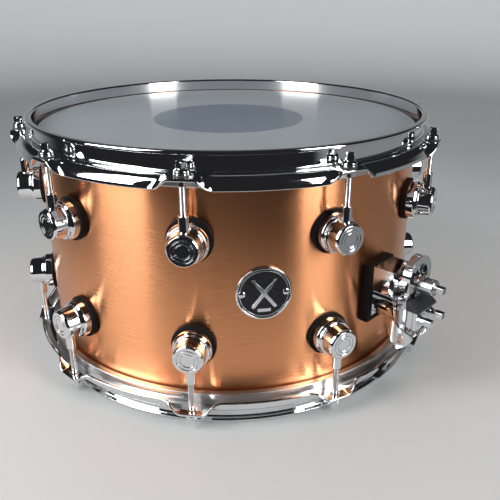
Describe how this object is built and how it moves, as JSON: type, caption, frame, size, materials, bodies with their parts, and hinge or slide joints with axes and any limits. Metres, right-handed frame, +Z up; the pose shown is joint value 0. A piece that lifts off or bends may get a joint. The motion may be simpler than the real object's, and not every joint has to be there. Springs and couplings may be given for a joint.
{
  "type": "snare drum",
  "caption": "Metal-shell snare drum with tube lugs, skirted hoops, a coated-dot batter head, snare wires and a lever throw-off.",
  "frame": {"origin": "centre of the bottom hoop's lip plane, on the drum's axis", "axes": "+Z up along the drum's axis, towards the batter head; +X out through the snare throw-off; the butt plate is at -X"},
  "size_m": [0.4477, 0.403, 0.2274],
  "materials": {
    "shell_copper": "brushed copper, grain running round the shell, satin",
    "hoop_chrome": "mirror chrome",
    "lug_chrome": "mirror chrome",
    "rod_chrome": "bright chrome",
    "gasket_rubber": "black rubber, matt",
    "head_film": "smooth translucent polyester film",
    "head_dot": "grey reinforcing film, satin",
    "flesh_hoop_aluminium": "satin aluminium",
    "badge_black": "black enamel with a polished rim",
    "badge_rivet": "bright",
    "washer_nylon": "black nylon",
    "washer_steel": "bright plated steel",
    "screw_steel": "zinc plated",
    "strainer_chrome": "chrome over die-cast metal",
    "strainer_black": "black satin coating",
    "knob_steel": "satin turned metal",
    "strap_plastic": "dark polyester strip",
    "snare_wire": "bright coiled steel wire"
  },
  "bodies": {
    "root": {"shell": "shell_copper", "top_hoop": "hoop_chrome", "bottom_hoop": "hoop_chrome", "top_lugs": "lug_chrome", "bottom_lugs": "lug_chrome", "top_tube_nuts": "lug_chrome", "bottom_tube_nuts": "lug_chrome", "lug_gaskets": "gasket_rubber", "throwoff_gasket": "gasket_rubber", "butt_gasket": "gasket_rubber", "vent_grommet": "gasket_rubber", "batter_film": "head_film", "snare_side_film": "head_film", "batter_film_collar": "head_film", "snare_side_film_collar": "head_film", "batter_dot": "head_dot", "batter_flesh_hoop": "flesh_hoop_aluminium", "snare_side_flesh_hoop": "flesh_hoop_aluminium", "badge_plate": "badge_black", "badge_rivets": "badge_rivet", "nylon_washers": "washer_nylon", "steel_washers": "washer_steel", "lug_screws": "screw_steel", "inner_washers": "screw_steel", "throwoff_mounting_screws": "screw_steel", "butt_mounting_screws": "screw_steel", "throwoff_base": "strainer_chrome", "butt_base": "strainer_chrome", "butt_clamp_plate": "strainer_chrome", "throwoff_pivot_screws": "strainer_chrome", "butt_clamp_screws": "strainer_chrome", "throwoff_strap": "strap_plastic", "butt_strap": "strap_plastic"},
    "throwoff_lever": {"throwoff_lever": "strainer_chrome"},
    "throwoff_slide": {"throwoff_slide_block": "strainer_chrome", "throwoff_block_cover": "strainer_black", "throwoff_clamp_plate": "strainer_chrome", "throwoff_clamp_screws": "strainer_chrome"},
    "tension_knob": {"throwoff_tension_knob": "knob_steel"},
    "snares": {"snare_wires": "snare_wire", "snare_end_plates": "snare_wire"},
    "top_rod_01": {"top_rod_01": "rod_chrome"},
    "top_rod_02": {"top_rod_02": "rod_chrome"},
    "top_rod_03": {"top_rod_03": "rod_chrome"},
    "top_rod_04": {"top_rod_04": "rod_chrome"},
    "top_rod_05": {"top_rod_05": "rod_chrome"},
    "top_rod_06": {"top_rod_06": "rod_chrome"},
    "top_rod_07": {"top_rod_07": "rod_chrome"},
    "top_rod_08": {"top_rod_08": "rod_chrome"},
    "top_rod_09": {"top_rod_09": "rod_chrome"},
    "top_rod_10": {"top_rod_10": "rod_chrome"},
    "bottom_rod_01": {"bottom_rod_01": "rod_chrome"},
    "bottom_rod_02": {"bottom_rod_02": "rod_chrome"},
    "bottom_rod_03": {"bottom_rod_03": "rod_chrome"},
    "bottom_rod_04": {"bottom_rod_04": "rod_chrome"},
    "bottom_rod_05": {"bottom_rod_05": "rod_chrome"},
    "bottom_rod_06": {"bottom_rod_06": "rod_chrome"},
    "bottom_rod_07": {"bottom_rod_07": "rod_chrome"},
    "bottom_rod_08": {"bottom_rod_08": "rod_chrome"},
    "bottom_rod_09": {"bottom_rod_09": "rod_chrome"},
    "bottom_rod_10": {"bottom_rod_10": "rod_chrome"}
  },
  "joints": [
    {"name": "throwoff_throw", "type": "hinge", "parent": "root", "child": "throwoff_lever", "pos_m": [0.2155, 0, 0.0631], "axis": [0, 1, 0], "range_deg": [0, 85], "deforming": ["throwoff_strap"]},
    {"name": "tension_slide", "type": "slide", "parent": "throwoff_lever", "child": "throwoff_slide", "axis": [0, 0, 1], "range_m": [-0.00173, 0.00173]},
    {"name": "tension_turn", "type": "hinge", "parent": "throwoff_slide", "child": "tension_knob", "pos_m": [0.2185, 0, 0.1106], "axis": [1, 0, 0], "range_deg": [-60, 60]},
    {"name": "snare_drop", "type": "slide", "parent": "root", "child": "snares", "axis": [0, 0, -1], "range_m": [0, 0.0025], "deforming": ["butt_strap"]},
    {"name": "top_rod_01_turn", "type": "hinge", "parent": "root", "child": "top_rod_01", "pos_m": [0.18409, 0.05981, 0.2121], "axis": [0, 0, 1], "continuous": true},
    {"name": "top_rod_02_turn", "type": "hinge", "parent": "root", "child": "top_rod_02", "pos_m": [0.11377, 0.15659, 0.2121], "axis": [0, 0, 1], "continuous": true},
    {"name": "top_rod_03_turn", "type": "hinge", "parent": "root", "child": "top_rod_03", "pos_m": [0, 0.19356, 0.2121], "axis": [0, 0, 1], "continuous": true},
    {"name": "top_rod_04_turn", "type": "hinge", "parent": "root", "child": "top_rod_04", "pos_m": [-0.11377, 0.15659, 0.2121], "axis": [0, 0, 1], "continuous": true},
    {"name": "top_rod_05_turn", "type": "hinge", "parent": "root", "child": "top_rod_05", "pos_m": [-0.18409, 0.05981, 0.2121], "axis": [0, 0, 1], "continuous": true},
    {"name": "top_rod_06_turn", "type": "hinge", "parent": "root", "child": "top_rod_06", "pos_m": [-0.18409, -0.05981, 0.2121], "axis": [0, 0, 1], "continuous": true},
    {"name": "top_rod_07_turn", "type": "hinge", "parent": "root", "child": "top_rod_07", "pos_m": [-0.11377, -0.15659, 0.2121], "axis": [0, 0, 1], "continuous": true},
    {"name": "top_rod_08_turn", "type": "hinge", "parent": "root", "child": "top_rod_08", "pos_m": [0, -0.19356, 0.2121], "axis": [0, 0, 1], "continuous": true},
    {"name": "top_rod_09_turn", "type": "hinge", "parent": "root", "child": "top_rod_09", "pos_m": [0.11377, -0.15659, 0.2121], "axis": [0, 0, 1], "continuous": true},
    {"name": "top_rod_10_turn", "type": "hinge", "parent": "root", "child": "top_rod_10", "pos_m": [0.18409, -0.05981, 0.2121], "axis": [0, 0, 1], "continuous": true},
    {"name": "bottom_rod_01_turn", "type": "hinge", "parent": "root", "child": "bottom_rod_01", "pos_m": [0.18409, 0.05981, 0.0153], "axis": [0, 0, 1], "continuous": true},
    {"name": "bottom_rod_02_turn", "type": "hinge", "parent": "root", "child": "bottom_rod_02", "pos_m": [0.11377, 0.15659, 0.0153], "axis": [0, 0, 1], "continuous": true},
    {"name": "bottom_rod_03_turn", "type": "hinge", "parent": "root", "child": "bottom_rod_03", "pos_m": [0, 0.19356, 0.0153], "axis": [0, 0, 1], "continuous": true},
    {"name": "bottom_rod_04_turn", "type": "hinge", "parent": "root", "child": "bottom_rod_04", "pos_m": [-0.11377, 0.15659, 0.0153], "axis": [0, 0, 1], "continuous": true},
    {"name": "bottom_rod_05_turn", "type": "hinge", "parent": "root", "child": "bottom_rod_05", "pos_m": [-0.18409, 0.05981, 0.0153], "axis": [0, 0, 1], "continuous": true},
    {"name": "bottom_rod_06_turn", "type": "hinge", "parent": "root", "child": "bottom_rod_06", "pos_m": [-0.18409, -0.05981, 0.0153], "axis": [0, 0, 1], "continuous": true},
    {"name": "bottom_rod_07_turn", "type": "hinge", "parent": "root", "child": "bottom_rod_07", "pos_m": [-0.11377, -0.15659, 0.0153], "axis": [0, 0, 1], "continuous": true},
    {"name": "bottom_rod_08_turn", "type": "hinge", "parent": "root", "child": "bottom_rod_08", "pos_m": [0, -0.19356, 0.0153], "axis": [0, 0, 1], "continuous": true},
    {"name": "bottom_rod_09_turn", "type": "hinge", "parent": "root", "child": "bottom_rod_09", "pos_m": [0.11377, -0.15659, 0.0153], "axis": [0, 0, 1], "continuous": true},
    {"name": "bottom_rod_10_turn", "type": "hinge", "parent": "root", "child": "bottom_rod_10", "pos_m": [0.18409, -0.05981, 0.0153], "axis": [0, 0, 1], "continuous": true}
  ],
  "couplings": [
    {"joint": "snare_drop", "follows": "throwoff_throw", "m_per_rad": 0.00168},
    {"joint": "tension_turn", "follows": "tension_slide", "rad_per_m": -604.6}
  ]
}
